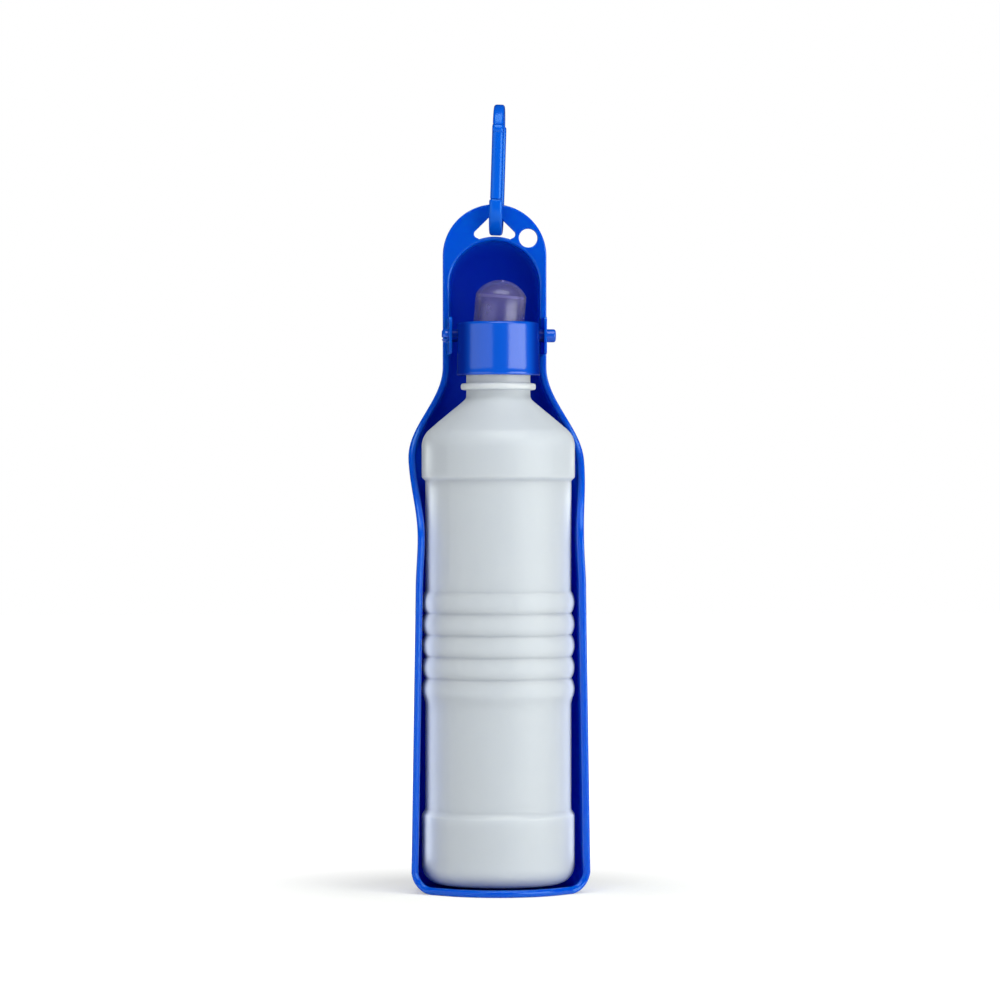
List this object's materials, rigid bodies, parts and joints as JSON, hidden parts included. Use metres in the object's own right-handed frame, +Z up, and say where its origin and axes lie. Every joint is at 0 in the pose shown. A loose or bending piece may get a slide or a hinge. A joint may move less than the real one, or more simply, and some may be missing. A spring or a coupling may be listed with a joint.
{
  "type": "dog travel water bottle",
  "caption": "Squeeze bottle with a soft nozzle, pinned by its screw cap between the ears of a long drinking trough that it swings out of, with a spring clip on the trough's head.",
  "frame": {"origin": "on the bottle's axis, in the plane of the flat face that the trough stands on", "axes": "+Z up along the bottle to the clip, +Y from the trough's open front to its back, +X to the right as seen from the open front"},
  "size_m": [0.0712, 0.0658, 0.3162],
  "materials": {
    "trough_pp": "smooth moulded polypropylene",
    "cap_pp": "smooth moulded polypropylene",
    "clip_pom": "smooth moulded acetal",
    "bottle_ldpe": "satin blow-moulded polyethylene",
    "nozzle_tpe": "glossy translucent soft moulding",
    "valve_silicone": "translucent silicone",
    "ring_foam": "matt foamed polyethylene",
    "pin_steel": "drawn wire"
  },
  "bodies": {
    "trough_body": {"trough": "trough_pp", "head_plate": "trough_pp", "hanging_lug": "trough_pp"},
    "cap_body": {"screw_cap": "cap_pp", "nozzle": "nozzle_tpe", "slit_valve": "valve_silicone"},
    "ring_body": {"sealing_ring": "ring_foam"},
    "bottle_body": {"bottle": "bottle_ldpe"},
    "clip_body": {"clip_frame": "clip_pom", "gate_pin": "pin_steel"},
    "gate_body": {"clip_gate": "clip_pom"}
  },
  "joints": [
    {"name": "bottle_swing", "type": "hinge", "parent": "trough_body", "child": "cap_body", "pos_m": [0, 0.0043, 0.2221], "axis": [-1, 0, 0], "range_deg": [0, 140]},
    {"name": "thread_advance", "type": "slide", "parent": "cap_body", "child": "ring_body", "axis": [0, 0, -1], "range_m": [0, 0.00098]},
    {"name": "bottle_unscrew", "type": "hinge", "parent": "ring_body", "child": "bottle_body", "pos_m": [0, 0, 0.1], "axis": [0, 0, -1], "range_deg": [0, 110]},
    {"name": "clip_swing", "type": "hinge", "parent": "trough_body", "child": "clip_body", "pos_m": [0.0008, 0.0191, 0.2739], "axis": [-0.9925, 0.1184, 0.0297], "range_deg": [-20, 100]},
    {"name": "gate_open", "type": "hinge", "parent": "clip_body", "child": "gate_body", "pos_m": [0.00072, 0.0105, 0.30539], "axis": [0.9925, -0.1184, -0.0297], "range_deg": [0, 20], "stiffness_Nm_per_rad": 0.02, "springref_deg": -17.19}
  ],
  "couplings": [
    {"joint": "thread_advance", "follows": "bottle_unscrew", "m_per_rad": 0.0005093}
  ]
}
